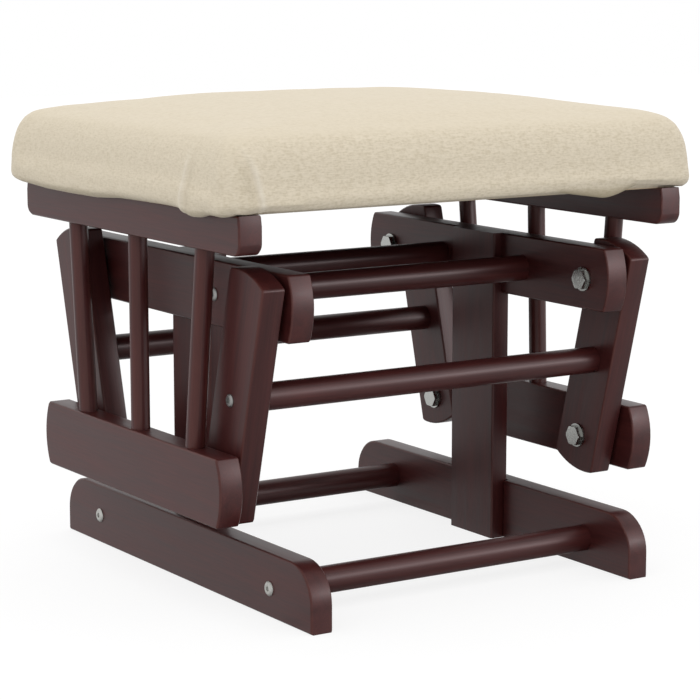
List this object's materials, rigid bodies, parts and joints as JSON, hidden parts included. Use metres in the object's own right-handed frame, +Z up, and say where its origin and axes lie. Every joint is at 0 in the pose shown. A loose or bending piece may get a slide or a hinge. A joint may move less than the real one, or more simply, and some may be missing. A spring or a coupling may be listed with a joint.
{
  "type": "glider ottoman",
  "caption": "Low glider ottoman: an upholstered seat on spindled side frames, hung by four leaning swing links from a dowel-tied wooden base.",
  "frame": {"origin": "on the floor, below the middle of the ottoman", "axes": "+X across the ottoman along its dowels, +Y to the rear along the glide, +Z up"},
  "size_m": [0.436, 0.4, 0.384],
  "materials": {
    "wood": "satin lacquer over dark cherry stain",
    "birch": "bare birch dowel",
    "plywood": "bare plywood",
    "steel": "zinc plated",
    "brass": "turned",
    "cloth": "woven",
    "lining": "non-woven"
  },
  "bodies": {
    "base": {"base_rail_left": "wood", "base_rail_right": "wood", "post_left": "wood", "post_right": "wood", "hanger_rail_left": "wood", "hanger_rail_right": "wood", "base_dowel_front": "wood", "base_dowel_rear": "wood", "upper_dowel_front": "wood", "upper_dowel_rear": "wood", "base_bolts": "steel", "base_bolt_inserts": "brass", "hanger_screws": "steel", "post_pins": "birch", "hanger_bearings": "steel"},
    "front_swing": {"link_front_left": "wood", "link_front_right": "wood", "link_dowel_front": "wood", "link_screws_front": "steel", "top_bolts_front": "steel", "top_washers_front": "steel", "top_spacers_front": "steel", "top_inserts_front": "brass", "link_bearings_front": "steel"},
    "rear_swing": {"link_rear_left": "wood", "link_rear_right": "wood", "link_dowel_rear": "wood", "link_screws_rear": "steel", "top_bolts_rear": "steel", "top_washers_rear": "steel", "top_spacers_rear": "steel", "top_inserts_rear": "brass", "link_bearings_rear": "steel", "lower_bolts_rear": "steel", "lower_washers_rear": "steel", "lower_spacers_rear": "steel"},
    "seat": {"lower_bolts_front": "steel", "lower_washers_front": "steel", "lower_spacers_front": "steel", "seat_inserts_front": "brass", "seat_inserts_rear": "brass", "lower_rail_left": "wood", "lower_rail_right": "wood", "upper_rail_left": "wood", "upper_rail_right": "wood", "spindle_front_left": "wood", "spindle_front_right": "wood", "spindle_middle_left": "wood", "spindle_middle_right": "wood", "spindle_rear_left": "wood", "spindle_rear_right": "wood", "seat_board": "plywood", "seat_board_screws": "steel", "dust_cover": "lining", "pad": "cloth"}
  },
  "joints": [
    {"name": "glide", "type": "hinge", "parent": "base", "child": "front_swing", "pos_m": [0, -0.1395, 0.2365], "axis": [1, 0, 0], "range_deg": [-12, 12]},
    {"name": "rear_link_pivot", "type": "hinge", "parent": "base", "child": "rear_swing", "pos_m": [0, 0.1395, 0.2365], "axis": [1, 0, 0], "range_deg": [-12.5, 12.5]},
    {"name": "seat_pivot", "type": "hinge", "parent": "front_swing", "child": "seat", "pos_m": [0, -0.1042, 0.09999], "axis": [1, 0, 0], "range_deg": [-17, 17]}
  ],
  "couplings": [
    {"joint": "rear_link_pivot", "follows": "glide", "ratio": 1},
    {"joint": "seat_pivot", "follows": "glide", "ratio": -1.339}
  ]
}
